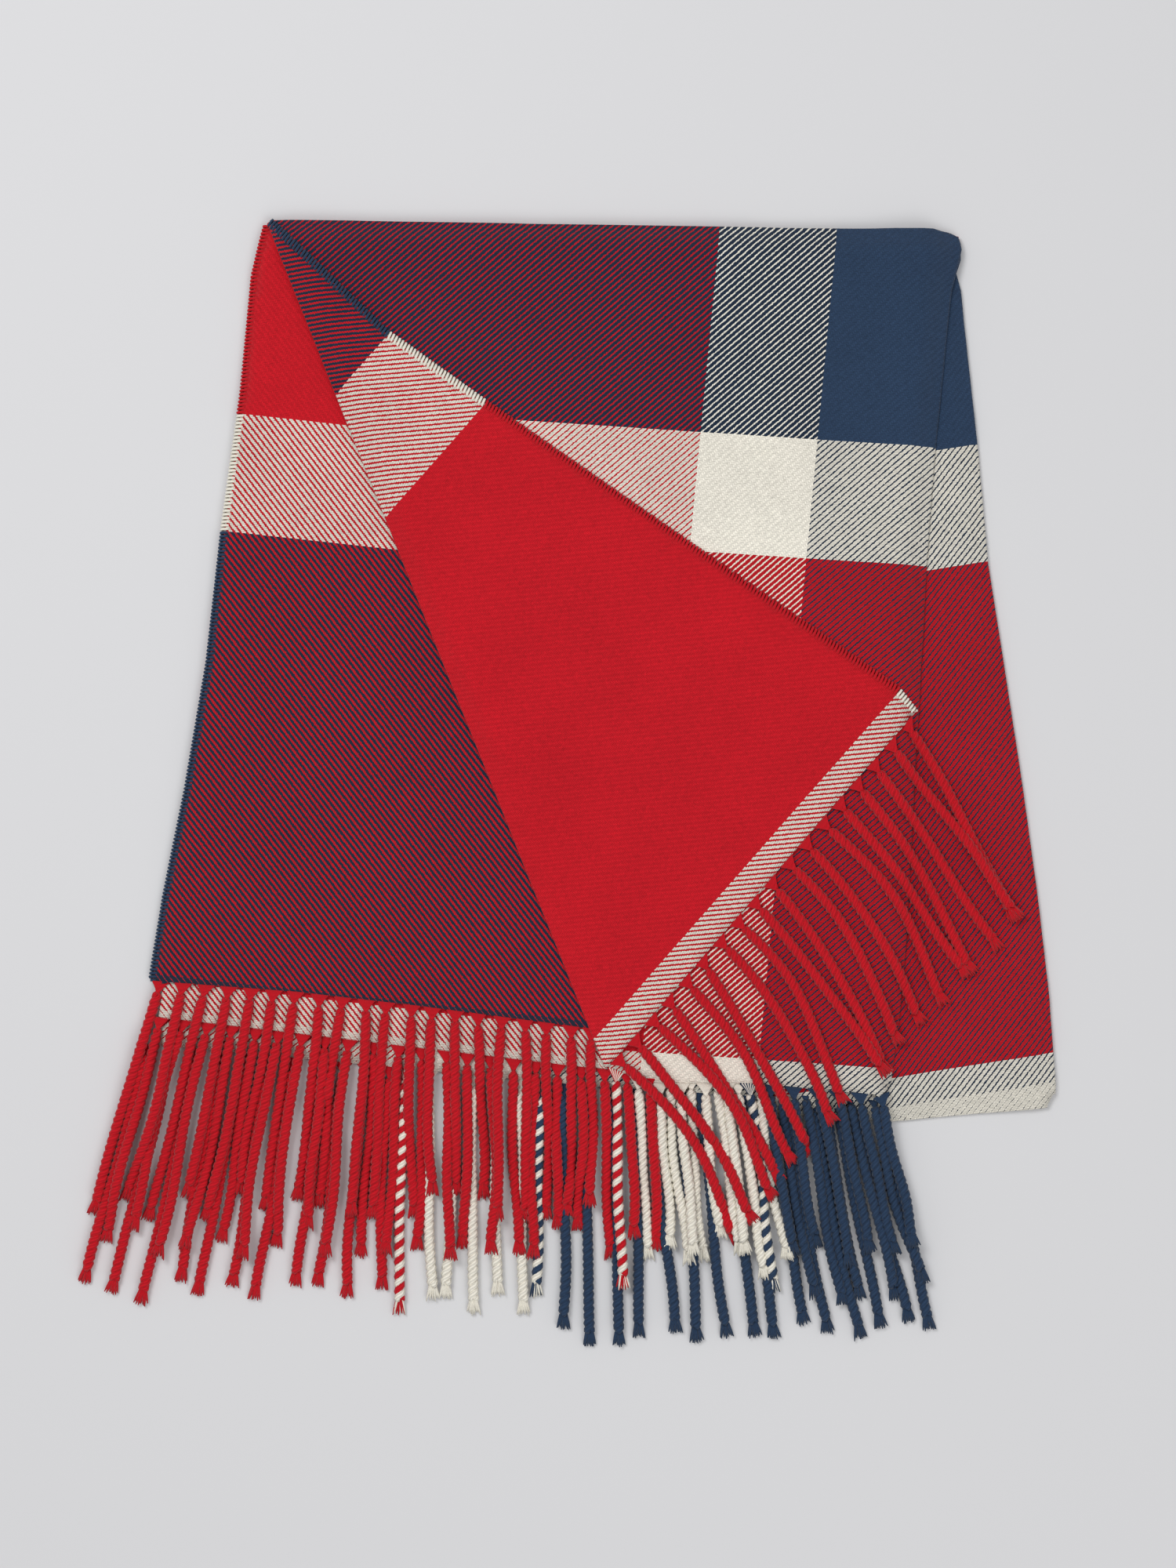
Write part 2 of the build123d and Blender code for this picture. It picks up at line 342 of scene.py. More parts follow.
class Drape:
    """The height of everything laid so far, on a square grid, so that each layer rests on those below it."""

    STEP = 3.0
    REACH_X = 390.0
    REACH_Y = 450.0
    SETTLE = 14
    LOFT_START = 9.0
    LOFT_REACH = 42.0
    NEST = 0.7

    def __init__(self) -> None:
        """Starts with the bare surface."""
        self.xs = np.arange(-self.REACH_X, self.REACH_X + 1, self.STEP)
        self.ys = np.arange(-self.REACH_Y, self.REACH_Y + 1, self.STEP)
        gx, gy = np.meshgrid(self.xs, self.ys)
        self.cells = np.column_stack([gx.ravel(), gy.ravel()])
        self.shape = gx.shape
        self.top = np.zeros(self.shape)

    @staticmethod
    def soften(z: np.ndarray) -> np.ndarray:
        """Evens out heights over neighbouring cells.

        Args:
            z: Heights.

        Returns:
            The softened heights.
        """
        p = np.pad(z, 1, mode="edge")
        p = (p[:-2] + 2 * p[1:-1] + p[2:]) / 4
        return (p[:, :-2] + 2 * p[:, 1:-1] + p[:, 2:]) / 4

    def ripple(self, seed: int, height: float) -> np.ndarray:
        """Makes the gentle waves of cloth that was folded by hand.

        Args:
            seed: Fixes the waves.
            height: The highest wave.

        Returns:
            Heights of zero or more.
        """
        chance = random.Random(seed)
        waves = np.zeros(len(self.cells))
        for _ in range(5):
            turn, length = chance.uniform(0, math.pi), chance.uniform(90, 260)
            run = self.cells @ np.array([math.cos(turn), math.sin(turn)])
            waves += np.sin(run * 2 * math.pi / length + chance.uniform(0, ANY_PHASE))
        return (height * (waves + 5) / 10).reshape(self.shape)

    def lay(self, panel: Panel, seed: int) -> np.ndarray:
        """Lays one layer on those below.

        Args:
            panel: The layer.
            seed: Fixes its waves.

        Returns:
            The height of its middle surface all over the grid.
        """
        z = self.top.copy()
        for _ in range(self.SETTLE):
            z = np.maximum(self.top, self.soften(z))
        z = self.soften(z) + self.ripple(seed, panel.wave)
        for line, swell in panel.lofts:
            far = clearance(line, self.cells).reshape(self.shape)
            rise = 1 - np.exp(-((far / self.LOFT_START) ** 2))
            z += swell * rise * np.exp(-((far / self.LOFT_REACH) ** 2))
        middle = z + CLOTH_THICK / 2 + AIR_GAP
        within = inside(panel.outline, self.cells).reshape(self.shape)
        self.top = np.where(within, np.maximum(self.top, middle + CLOTH_THICK / 2), self.top)
        return middle

    def read(self, z: np.ndarray, points: np.ndarray) -> np.ndarray:
        """Reads heights between the cells.

        Args:
            z: Heights on the grid.
            points: Points in plan, one row each.

        Returns:
            The height at each point.
        """
        fx = np.clip((points[:, 0] - self.xs[0]) / self.STEP, 0, len(self.xs) - 1.001)
        fy = np.clip((points[:, 1] - self.ys[0]) / self.STEP, 0, len(self.ys) - 1.001)
        ix, iy = fx.astype(int), fy.astype(int)
        tx, ty = fx - ix, fy - iy
        low = z[iy, ix] * (1 - tx) + z[iy, ix + 1] * tx
        high = z[iy + 1, ix] * (1 - tx) + z[iy + 1, ix + 1] * tx
        return low * (1 - ty) + high * ty

    def press(self, path: np.ndarray, radius: float) -> None:
        """Adds a cord to what later pieces rest on.

        Args:
            path: Its middle line, one row of X, Y and Z each.
            radius: Its radius.
        """
        ix = np.round((path[:, 0] - self.xs[0]) / self.STEP).astype(int)
        iy = np.round((path[:, 1] - self.ys[0]) / self.STEP).astype(int)
        np.maximum.at(self.top, (iy, ix), path[:, 2] + radius * self.NEST)


@dataclass
class MeshParts:
    """Vertices, faces, flat-cloth coordinates and finish numbers, gathered before they become one mesh."""

    points: list[np.ndarray] = field(default_factory=list)
    faces: list[tuple[int, ...]] = field(default_factory=list)
    flats: list[np.ndarray] = field(default_factory=list)
    finishes: list[int] = field(default_factory=list)
    count: int = 0

    def add(self, points: np.ndarray, faces: list[tuple[int, ...]], flat: np.ndarray,
            finish: int = 0) -> None:
        """Adds one shape.

        Args:
            points: Its vertices in millimetres.
            faces: Its faces, numbered from its own first vertex.
            flat: Its surface coordinates, one row for each vertex.
            finish: The number of its material.
        """
        self.points.append(points)
        self.flats.append(flat)
        self.faces += [tuple(i + self.count for i in f) for f in faces]
        self.finishes += [finish] * len(faces)
        self.count += len(points)

    def tube(self, path: np.ndarray, radii: np.ndarray, sides: int, finish: int = 0,
             flat: np.ndarray | None = None) -> None:
        """Adds a closed tube along a path.

        Args:
            path: Its middle line.
            radii: Its radius at each point of the path.
            sides: How many sides it has.
            finish: The number of its material.
            flat: Surface coordinates for each point of the path, or none to wrap and measure it.
        """
        run = np.gradient(path, axis=0)
        run /= np.linalg.norm(run, axis=1)[:, None] + 1e-9
        side = np.cross(run, [0.0, 0.0, 1.0])
        side /= np.linalg.norm(side, axis=1)[:, None] + 1e-9
        rise = np.cross(side, run)
        turn = np.arange(sides) * 2 * math.pi / sides
        ring = np.cos(turn)[None, :, None] * side[:, None] + np.sin(turn)[None, :, None] * rise[:, None]
        skin = (path[:, None] + ring * radii[:, None, None]).reshape(-1, 3)
        far = np.concatenate([[0], np.cumsum(np.linalg.norm(np.diff(path, axis=0), axis=1))])
        if flat is None:
            wrap = np.tile(np.arange(sides) / sides * 1000.0, len(path))
            place = np.column_stack([wrap, np.repeat(far, sides)])
        else:
            place = np.repeat(flat, sides, axis=0)
        faces: list[tuple[int, ...]] = []
        for i in range(len(path) - 1):
            for j in range(sides):
                k = (j + 1) % sides
                faces.append((i * sides + j, (i + 1) * sides + j, (i + 1) * sides + k, i * sides + k))
        faces.append(tuple(range(sides)))
        faces.append(tuple(reversed(range((len(path) - 1) * sides, len(path) * sides))))
        self.add(skin, faces, place, finish)

    def build(self, name: str, materials: list[bpy.types.Material]) -> bpy.types.Object:
        """Makes the mesh object.

        Args:
            name: The piece's name.
            materials: Its materials, in the order of the finish numbers.

        Returns:
            The object, at the origin.
        """
        mesh = bpy.data.meshes.new(name)
        mesh.from_pydata((np.concatenate(self.points) * MM).tolist(), [], self.faces)
        for material in materials:
            mesh.materials.append(material)
        mesh.polygons.foreach_set("material_index", self.finishes)
        layer = mesh.uv_layers.new(name="cloth")
        corners = np.zeros(len(mesh.loops), np.int32)
        mesh.loops.foreach_get("vertex_index", corners)
        layer.data.foreach_set("uv", (np.concatenate(self.flats)[corners] * MM).ravel())
        mesh.polygons.foreach_set("use_smooth", [True] * len(mesh.polygons))
        piece = bpy.data.objects.new(name, mesh)
        bpy.context.scene.collection.objects.link(piece)
        return piece


def only(piece: bpy.types.Object) -> None:
    """Makes a piece the only one selected, and the active one."""
    bpy.ops.object.select_all(action="DESELECT")
    piece.select_set(True)
    bpy.context.view_layer.objects.active = piece


def declare(piece: bpy.types.Object, slot: str, *nodes: str) -> None:
    """Ties a piece to the frame.

    Args:
        piece: The finished piece.
        slot: The record's material slot; not used.
        nodes: The CAD nodes it stands for.
    """
    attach(piece, BODY)
    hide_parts(*nodes)
    LOG.info("%s: %d faces", piece.name, len(piece.data.polygons))


class Nodes:
    """A short way to lay out shader nodes in one tree."""

    def __init__(self, tree: bpy.types.NodeTree) -> None:
        """Keeps the tree that nodes are added to."""
        self.tree = tree

    def add(self, kind: str, **settings: object) -> bpy.types.Node:
        """Adds a node and sets its properties."""
        node = self.tree.nodes.new(kind)
        for key, value in settings.items():
            setattr(node, key, value)
        return node

    def feed(self, socket: bpy.types.NodeSocket, value: object) -> None:
        """Links a socket, or sets it if the value is a plain number or colour."""
        if isinstance(value, bpy.types.NodeSocket):
            self.tree.links.new(value, socket)
        else:
            socket.default_value = value

    def sum(self, operation: str, first: object, second: object = 0.0,
            third: object = 0.0) -> bpy.types.NodeSocket:
        """Adds a Math node.

        Args:
            operation: The sum it does.
            first: Its first value.
            second: Its second value.
            third: Its third value.

        Returns:
            The result's socket.
        """
        node = self.add("ShaderNodeMath", operation=operation)
        for socket, value in zip(node.inputs, (first, second, third)):
            self.feed(socket, value)
        return node.outputs[0]

    def mix(self, share: object, first: object, second: object, way: str = "MIX") -> bpy.types.NodeSocket:
        """Mixes two colours.

        Args:
            share: How much of the second shows.
            first: The first colour.
            second: The second colour.
            way: How they mix.

        Returns:
            The mixed colour's socket.
        """
        node = self.add("ShaderNodeMix", data_type="RGBA", blend_type=way)
        self.feed(node.inputs[0], share)
        self.feed(node.inputs[6], first)
        self.feed(node.inputs[7], second)
        return node.outputs[2]

    def split(self, place: object) -> bpy.types.NodeOutputs:
        """Takes a place apart into X, Y and Z."""
        node = self.add("ShaderNodeSeparateXYZ")
        self.feed(node.inputs[0], place)
        return node.outputs

    def noise(self, place: object, scale: float, detail: float = 2.0) -> bpy.types.NodeSocket:
        """Adds a Noise node and gives its value from 0 to 1."""
        node = self.add("ShaderNodeTexNoise")
        self.feed(node.inputs["Vector"], place)
        self.feed(node.inputs["Scale"], scale)
        self.feed(node.inputs["Detail"], detail)
        return node.outputs["Fac"]


def new_group(name: str, inputs: list[tuple[str, str]], outputs: list[tuple[str, str]]) -> tuple[
        bpy.types.NodeTree, Nodes, bpy.types.Node, bpy.types.Node]:
    """Starts a node group with named sockets.

    Args:
        name: Its name.
        inputs: Names and kinds of the input sockets.
        outputs: Names and kinds of the output sockets.

    Returns:
        The group, its layout helper, and its input and output nodes.
    """
    group = bpy.data.node_groups.new(name, "ShaderNodeTree")
    for label, kind in inputs:
        group.interface.new_socket(name=label, in_out="INPUT", socket_type=kind)
    for label, kind in outputs:
        group.interface.new_socket(name=label, in_out="OUTPUT", socket_type=kind)
    nodes = Nodes(group)
    return group, nodes, nodes.add("NodeGroupInput"), nodes.add("NodeGroupOutput")


FLOAT = "NodeSocketFloat"
VECTOR = "NodeSocketVector"
COLOUR = "NodeSocketColor"


class ClothFinishes:
    """The materials of the cloth, the tassels and the whipped edges."""

    def __init__(self) -> None:
        """Builds the shared effects, then the materials."""
        self.weave = self.make_weave()
        self.bands = self.make_bands()
        self.fuzz = self.make_fuzz()
        self.twist = self.make_twist()
        self.tone = self.make_tone()
        self.plaids = [self.make_plaid(side) for side in SIDES]
        self.edging = self.make_edging()
        self.yarns = {yarn: self.make_yarn(yarn) for yarn in Yarn}

    @staticmethod
    def make_weave() -> bpy.types.NodeTree:
        """Makes the 2/2 twill: which thread shows, how high it stands, and which thread it is."""
        group, n, start, end = new_group(
            "twill_weave", [("Place", VECTOR), ("Pitch", FLOAT), ("Warp Width", FLOAT)],
            [("Warp Shows", FLOAT), ("Height", FLOAT), ("Rib", FLOAT),
             ("Warp Place", FLOAT), ("Weft Place", FLOAT)])
        wander = n.noise(start.outputs["Place"], 420.0, 2.0)
        split = n.split(start.outputs["Place"])
        shift = n.sum("MULTIPLY", n.sum("SUBTRACT", wander, 0.5), 0.55)
        u = n.sum("ADD", n.sum("DIVIDE", split[0], start.outputs["Pitch"]), shift)
        v = n.sum("ADD", n.sum("DIVIDE", split[1], start.outputs["Pitch"]), shift)
        iu, iv = n.sum("FLOOR", u), n.sum("FLOOR", v)
        parts = [n.sum("SUBTRACT", n.sum("SUBTRACT", value, whole), 0.5)
                 for value, whole in ((u, iu), (v, iv))]
        cell = n.sum("ADD", n.sum("ADD", iu, iv), 1.0)
        slant = n.sum("MULTIPLY_ADD", n.sum("ADD", parts[0], parts[1]), 0.7, cell)
        in_repeat = n.sum("FLOORED_MODULO", n.sum("ADD", slant, 0.5), 4.0)
        off_line = n.sum("ABSOLUTE", n.sum("SUBTRACT", in_repeat, 2.0))
        patchy = n.noise(start.outputs["Place"], 620.0, 3.0)
        width = n.sum("MULTIPLY_ADD", n.sum("SUBTRACT", patchy, 0.5), 1.1, start.outputs["Warp Width"])
        shows = n.sum("LESS_THAN", off_line, width)
        n.feed(end.inputs["Rib"], n.sum("DIVIDE", off_line, 2.0))
        rounds = []
        for part in parts:
            across = n.sum("MULTIPLY", part, 2.0)
            rounds.append(n.sum("SUBTRACT", 1.0, n.sum("MULTIPLY", across, across)))
        height = n.sum("ADD", n.sum("MULTIPLY", rounds[0], shows),
                       n.sum("MULTIPLY", rounds[1], n.sum("SUBTRACT", 1.0, shows)))
        n.feed(end.inputs["Warp Shows"], shows)
        n.feed(end.inputs["Height"], height)
        n.feed(end.inputs["Warp Place"], n.sum("MULTIPLY", iu, start.outputs["Pitch"]))
        n.feed(end.inputs["Weft Place"], n.sum("MULTIPLY", iv, start.outputs["Pitch"]))
        return group

    @staticmethod
    def make_bands() -> bpy.types.NodeTree:
        """Makes the plaid: the warp's and the weft's colour at a place on the flat cloth."""
        group, n, start, end = new_group(
            "plaid_bands", [("Warp Place", FLOAT), ("Weft Place", FLOAT)],
            [("Warp", COLOUR), ("Weft", COLOUR)])
        for label, bands in (("Warp", WARP_STRIPES), ("Weft", WEFT_BANDS)):
            total = sum(width for _, width in bands)
            ramp = n.add("ShaderNodeValToRGB")
            ramp.color_ramp.interpolation = "CONSTANT"
            reached = 0.0
            for index, (yarn, width) in enumerate(bands):
                stops = ramp.color_ramp.elements
                stop = stops[0] if index == 0 else (stops[1] if index == 1 else stops.new(reached / total))
                stop.position = reached / total
                stop.color = FINISHES[yarn].colour
                reached += width
            n.feed(ramp.inputs[0], n.sum("DIVIDE", start.outputs[label + " Place"], total * MM))
            n.feed(end.inputs[label], ramp.outputs[0])
        return group

    @staticmethod
    def make_fuzz() -> bpy.types.NodeTree:
        """Makes the short loose fibres that blur the weave."""
        group, n, start, end = new_group(
            "wool_fuzz", [("Place", VECTOR), ("Scale", FLOAT)], [("Shade", FLOAT), ("Height", FLOAT)])
        node = n.add("ShaderNodeTexNoise")
        n.feed(node.inputs["Vector"], start.outputs["Place"])
        n.feed(node.inputs["Scale"], start.outputs["Scale"])
        n.feed(node.inputs["Detail"], 4.0)
        n.feed(node.inputs["Distortion"], 1.2)
        broad = n.noise(start.outputs["Place"], 14.0, 3.0)
        shade = n.sum("ADD", n.sum("MULTIPLY", node.outputs["Fac"], 0.7), n.sum("MULTIPLY", broad, 0.3))
        n.feed(end.inputs["Shade"], shade)
        n.feed(end.inputs["Height"], node.outputs["Fac"])
        return group

    @staticmethod
    def make_twist() -> bpy.types.NodeTree:
        """Makes the slanting fibres round one ply of a tassel: their height, and the same wave again for the
        painted shade in their grooves.
        """
        group, n, start, end = new_group(
            "yarn_twist", [("Place", VECTOR)], [("Shade", FLOAT), ("Height", FLOAT)])
        split = n.split(start.outputs["Place"])
        slant = n.sum("ADD", n.sum("MULTIPLY", split[0], 6.0), n.sum("MULTIPLY", split[1], 260.0))
        line = n.sum("ADD", n.sum("MULTIPLY", n.sum("SINE", n.sum("MULTIPLY", slant, 2 * math.pi)), 0.5), 0.5)
        n.feed(end.inputs["Height"], line)
        n.feed(end.inputs["Shade"], line)
        return group

    def place_group(self, n: Nodes, group: bpy.types.NodeTree, **values: object) -> bpy.types.Node:
        """Places a group in a material and feeds its inputs, with underscores for spaces."""
        node = n.add("ShaderNodeGroup", node_tree=group)
        for label, value in values.items():
            n.feed(node.inputs[label.replace("_", " ")], value)
        return node

    @staticmethod
    def start_material(name: str, finish: YarnFinish) -> tuple[bpy.types.Material, Nodes, bpy.types.Node]:
        """Starts a woollen material.

        Args:
            name: Its name.
            finish: The yarn whose roughness and sheen it has.

        Returns:
            The material, its layout helper and its shader.
        """
        material = bpy.data.materials.new(name)
        material.use_nodes = True
        shader = material.node_tree.nodes["Principled BSDF"]
        shader.inputs["Roughness"].default_value = finish.roughness
        shader.inputs["Sheen Weight"].default_value = finish.sheen
        shader.inputs["Sheen Roughness"].default_value = 0.5
        shader.inputs["Specular IOR Level"].default_value = 0.15
        shader.inputs["Base Color"].default_value = finish.colour
        return material, Nodes(material.node_tree), shader

    @staticmethod
    def make_tone() -> bpy.types.NodeTree:
        """Makes the change of tone: a colour darkened or lightened by an amount, between two strengths."""
        group, n, start, end = new_group(
            "yarn_tone", [("Colour", COLOUR), ("Amount", FLOAT), ("Low", FLOAT), ("High", FLOAT)],
            [("Colour", COLOUR)])
        span = n.add("ShaderNodeMapRange")
        n.feed(span.inputs["Value"], start.outputs["Amount"])
        n.feed(span.inputs["To Min"], start.outputs["Low"])
        n.feed(span.inputs["To Max"], start.outputs["High"])
        grey = n.add("ShaderNodeCombineColor")
        for index in range(3):
            n.feed(grey.inputs[index], span.outputs[0])
        n.feed(end.inputs["Colour"], n.mix(1.0, start.outputs["Colour"], grey.outputs[0], "MULTIPLY"))
        return group

    def shade(self, n: Nodes, colour: object, amount: object, low: float,
              high: float) -> bpy.types.NodeSocket:
        """Darkens and lightens a colour by an amount from 0 to 1, between two strengths."""
        node = self.place_group(n, self.tone, Colour=colour, Amount=amount, Low=low, High=high)
        return node.outputs["Colour"]

    def bump(self, n: Nodes, shader: bpy.types.Node, height: object, strength: float, depth: float) -> None:
        """Raises the surface by a height from 0 to 1."""
        node = n.add("ShaderNodeBump")
        n.feed(node.inputs["Strength"], strength)
        n.feed(node.inputs["Distance"], depth)
        n.feed(node.inputs["Height"], height)
        n.feed(shader.inputs["Normal"], node.outputs[0])

    def make_plaid(self, side: ClothSide) -> bpy.types.Material:
        """Makes the woven plaid cloth, as one of its sides shows it, with painted shade and highlight on its
        yarns.
        """
        material, n, shader = self.start_material("plaid_twill_" + side.name.lower(), FINISHES[Yarn.RED])
        place = n.add("ShaderNodeUVMap", uv_map="cloth").outputs[0]
        split = n.split(place)
        from_end = n.sum("MINIMUM", split[1], n.sum("SUBTRACT", WEFT_LENGTH * MM, split[1]))
        packed = n.sum("MULTIPLY", n.sum("LESS_THAN", from_end, BEATEN_END * MM), side.value * 0.62)
        weave = self.place_group(n, self.weave, Place=place, Pitch=THREAD_PITCH * MM,
                                 Warp_Width=n.sum("SUBTRACT", side.value, packed))
        bands = self.place_group(n, self.bands, Warp_Place=weave.outputs["Warp Place"],
                                 Weft_Place=weave.outputs["Weft Place"])
        fuzz = self.place_group(n, self.fuzz, Place=place, Scale=360.0)
        colour = n.mix(weave.outputs["Warp Shows"], bands.outputs["Weft"], bands.outputs["Warp"])
        unlike = n.add("ShaderNodeVectorMath", operation="DISTANCE")
        n.feed(unlike.inputs[0], bands.outputs["Warp"])
        n.feed(unlike.inputs[1], bands.outputs["Weft"])
        mixed = n.sum("MINIMUM", n.sum("MULTIPLY", unlike.outputs["Value"], 4.0), 1.0)
        light = n.add("ShaderNodeRGBToBW")
        n.feed(light.inputs[0], colour)
        # Painted shade: the darker yarn, where it meets a lighter one, is darkened further to stand in for
        # the shadow in its recess.
        recess_shade = n.sum("MULTIPLY", n.sum("LESS_THAN", light.outputs[0], DARK_YARN), mixed)
        # Painted shade: where warp and weft differ in colour, the mix is darkened to stand in for the shadows
        # between the yarns.
        colour = self.shade(n, colour, mixed, 1.0, 0.86)
        colour = self.shade(n, colour, recess_shade, 1.0, 0.60)
        # Painted highlight and shade: the middle of each twill rib is lightened and the grooves between ribs
        # are darkened.
        colour = self.shade(n, colour, weave.outputs["Rib"], 1.10, 0.90)
        # Painted shade: each thread is darker at its rounded edges and lighter along its top.
        colour = self.shade(n, colour, weave.outputs["Height"], 0.80, 1.08)
        colour = self.shade(n, colour, fuzz.outputs["Shade"], 0.55, 1.45)
        n.feed(shader.inputs["Base Color"], colour)
        height = n.sum("ADD", weave.outputs["Height"], n.sum("MULTIPLY", fuzz.outputs["Height"], 0.6))
        self.bump(n, shader, height, 0.7, 0.0004)
        return material

    def make_edging(self) -> bpy.types.Material:
        """Makes the whipped edge, whose yarn has the colour of the band it covers."""
        material, n, shader = self.start_material("whipped_edge", FINISHES[Yarn.RED])
        place = n.add("ShaderNodeUVMap", uv_map="cloth").outputs[0]
        split = n.split(place)
        bands = self.place_group(n, self.bands, Warp_Place=split[0], Weft_Place=split[1])
        body = n.add("ShaderNodeTexCoord").outputs["Object"]
        fuzz = self.place_group(n, self.fuzz, Place=body, Scale=1400.0)
        colour = self.shade(n, bands.outputs["Weft"], fuzz.outputs["Shade"], 0.75, 1.2)
        n.feed(shader.inputs["Base Color"], colour)
        self.bump(n, shader, fuzz.outputs["Height"], 0.4, 0.0004)
        return material

    def make_yarn(self, yarn: Yarn) -> bpy.types.Material:
        """Makes the twisted yarn of the tassels in one colour."""
        material, n, shader = self.start_material(yarn.value + "_tassel_yarn", FINISHES[yarn])
        place = n.add("ShaderNodeUVMap", uv_map="cloth").outputs[0]
        body = n.add("ShaderNodeTexCoord").outputs["Object"]
        twist = self.place_group(n, self.twist, Place=place)
        fuzz = self.place_group(n, self.fuzz, Place=body, Scale=1100.0)
        # Painted shade: the grooves between the twisted fibres of the ply are darkened.
        colour = self.shade(n, FINISHES[yarn].colour, twist.outputs["Shade"], 0.78, 1.08)
        colour = self.shade(n, colour, fuzz.outputs["Shade"], 0.8, 1.2)
        n.feed(shader.inputs["Base Color"], colour)
        height = n.sum("ADD", twist.outputs["Height"], fuzz.outputs["Height"])
        self.bump(n, shader, height, 0.4, 0.0003)
        return material


@dataclass
class WovenCloth:
    """The whole cloth, folded: layers that rest on each other, joined by rounded bends."""

    spacing: float = 7.0
    arc_steps: int = 7
    scallop: float = 2.2
    weld: float = 0.6
    middles: dict[str, np.ndarray] = field(default_factory=dict)

    def panel_mesh(self, panel: Panel, middle: np.ndarray, drape: Drape, parts: MeshParts) -> None:
        """Fills one layer's outline with an even net of triangles.

        Args:
            panel: The layer.
            middle: Its height all over the grid.
            drape: The grid.
            parts: What it is added to.
        """
        check_outline(panel.name, panel.outline)
        closed = panel.outline + panel.outline[:1]
        sides = zip(closed, closed[1:])
        rim = np.concatenate([self.rim_run(panel, corner, beyond) for corner, beyond in sides])
        low, high = rim.min(axis=0), rim.max(axis=0)
        gx, gy = np.meshgrid(*[np.arange(low[axis], high[axis], self.spacing) for axis in (0, 1)])
        net = np.column_stack([gx.ravel(), gy.ravel()])
        net = net[inside(panel.outline, net)]
        net = net[clearance(closed, net) > self.spacing * 0.55]
        every = np.concatenate([rim, net])
        found = delaunay_2d_cdt([Vector(p) for p in every], [], [list(range(len(rim)))], 1, 1e-5)
        plan = np.array([tuple(p) for p in found[0]])
        points = np.column_stack([plan, drape.read(middle, plan)])
        faces = []
        for face in found[2]:
            a, b, c = (plan[i] for i in face[:3])
            turn = (b[0] - a[0]) * (c[1] - a[1]) - (b[1] - a[1]) * (c[0] - a[0])
            faces.append(tuple(face) if turn > 0 else tuple(reversed(face)))
        parts.add(points, faces, panel.cloth.flat(plan), SIDES.index(panel.side))

    def rim_run(self, panel: Panel, corner: Point, beyond: Point) -> np.ndarray:
        """Divides one side of an outline, and scallops it where tassels draw the cloth down.

        Args:
            panel: The layer.
            corner: Where the side starts.
            beyond: Where it ends.

        Returns:
            The points, without the last.
        """
        middle = (np.array(corner) + np.array(beyond)) / 2
        heads = [row.heads() for row in ROWS if row.layer == panel.name
                 and clearance(row.edge, middle[None])[0] < self.weld]
        if not heads:
            return divide([corner, beyond], self.spacing)[:-1]
        points = divide([corner, beyond], SCALLOP_STEP)[:-1]
        run = unit(np.array(beyond) - np.array(corner))
        out = np.array([-run[1], run[0]])
        if inside(panel.outline, (middle + out)[None])[0]:
            out = -out
        gap = np.min([np.hypot(*(points - head).T) for head in np.concatenate(heads)], axis=0)
        dip = self.scallop * np.exp(-((gap / (TASSEL_PITCH / 4)) ** 2))
        dip[0] = 0.0
        return points + out * dip[:, None]

    def fold_mesh(self, fold: Fold, drape: Drape, parts: MeshParts) -> None:
        """Turns the cloth round one folded edge.

        Args:
            fold: The bend.
            drape: The grid.
            parts: What it is added to.
        """
        plan = divide(fold.line, self.spacing)
        run = np.gradient(plan, axis=0)
        run /= np.linalg.norm(run, axis=1)[:, None]
        out = np.column_stack([-run[:, 1], run[:, 0]])
        top = drape.read(self.middles[fold.upper], plan)
        low = np.minimum(drape.read(self.middles[fold.lower], plan), top - CLOTH_THICK)
        low = np.maximum(low, top - 2 * fold.swell)
        low = np.maximum(low, CLOTH_THICK / 2 + AIR_GAP)
        reach, centre = (top - low) / 2, (top + low) / 2
        upper = next(p for p in PANELS if p.name == fold.upper)
        cloth = upper.cloth
        rows, flats = [], []
        for step in range(self.arc_steps + 1):
            turn = math.pi / 2 - math.pi * step / self.arc_steps
            spread = reach * math.cos(turn) if 0 < step < self.arc_steps else reach * 0
            at = plan + out * spread[:, None]
            rows.append(np.column_stack([at, centre + reach * math.sin(turn)]))
            flats.append(cloth.flat(plan + out * (reach * math.pi * step / self.arc_steps)[:, None]))
        if fold.lip:
            rows.append(np.column_stack([plan - out * fold.lip, low]))
            flats.append(cloth.flat(plan + out * (reach * math.pi + fold.lip)[:, None]))
        count = len(plan)
        faces = [(j * count + i, j * count + i + 1, (j + 1) * count + i + 1, (j + 1) * count + i)
                 for j in range(len(rows) - 1) for i in range(count - 1)]
        parts.add(np.concatenate(rows), faces, np.concatenate(flats), SIDES.index(upper.side))

    def build(self, drape: Drape, finishes: ClothFinishes) -> bpy.types.Object:
        """Lays every layer, bends the folds and gives the cloth its thickness.

        Args:
            drape: The grid it is laid on.
            finishes: The materials.

        Returns:
            The cloth.
        """
        parts = MeshParts()
        for number, panel in enumerate(PANELS):
            self.middles[panel.name] = drape.lay(panel, number + 3)
            self.panel_mesh(panel, self.middles[panel.name], drape, parts)
        for fold in FOLDS:
            self.fold_mesh(fold, drape, parts)
        cloth = parts.build("throw_cloth", finishes.plaids)
        only(cloth)
        bpy.ops.object.mode_set(mode="EDIT")
        bpy.ops.mesh.select_all(action="SELECT")
        bpy.ops.mesh.remove_doubles(threshold=0.00002)
        bpy.ops.object.mode_set(mode="OBJECT")
        thick = cloth.modifiers.new("thickness", "SOLIDIFY")
        thick.thickness = CLOTH_THICK * MM
        thick.offset = 0.0
        bpy.ops.object.modifier_apply(modifier=thick.name)
        places = np.zeros(len(cloth.data.vertices) * 3)
        cloth.data.vertices.foreach_get("co", places)
        places[2::3] = np.maximum(places[2::3], 0.0)
        cloth.data.vertices.foreach_set("co", places)
        declare(cloth, "plaid_cloth", *[p.name for p in PANELS], *[f.name for f in FOLDS])
        return cloth


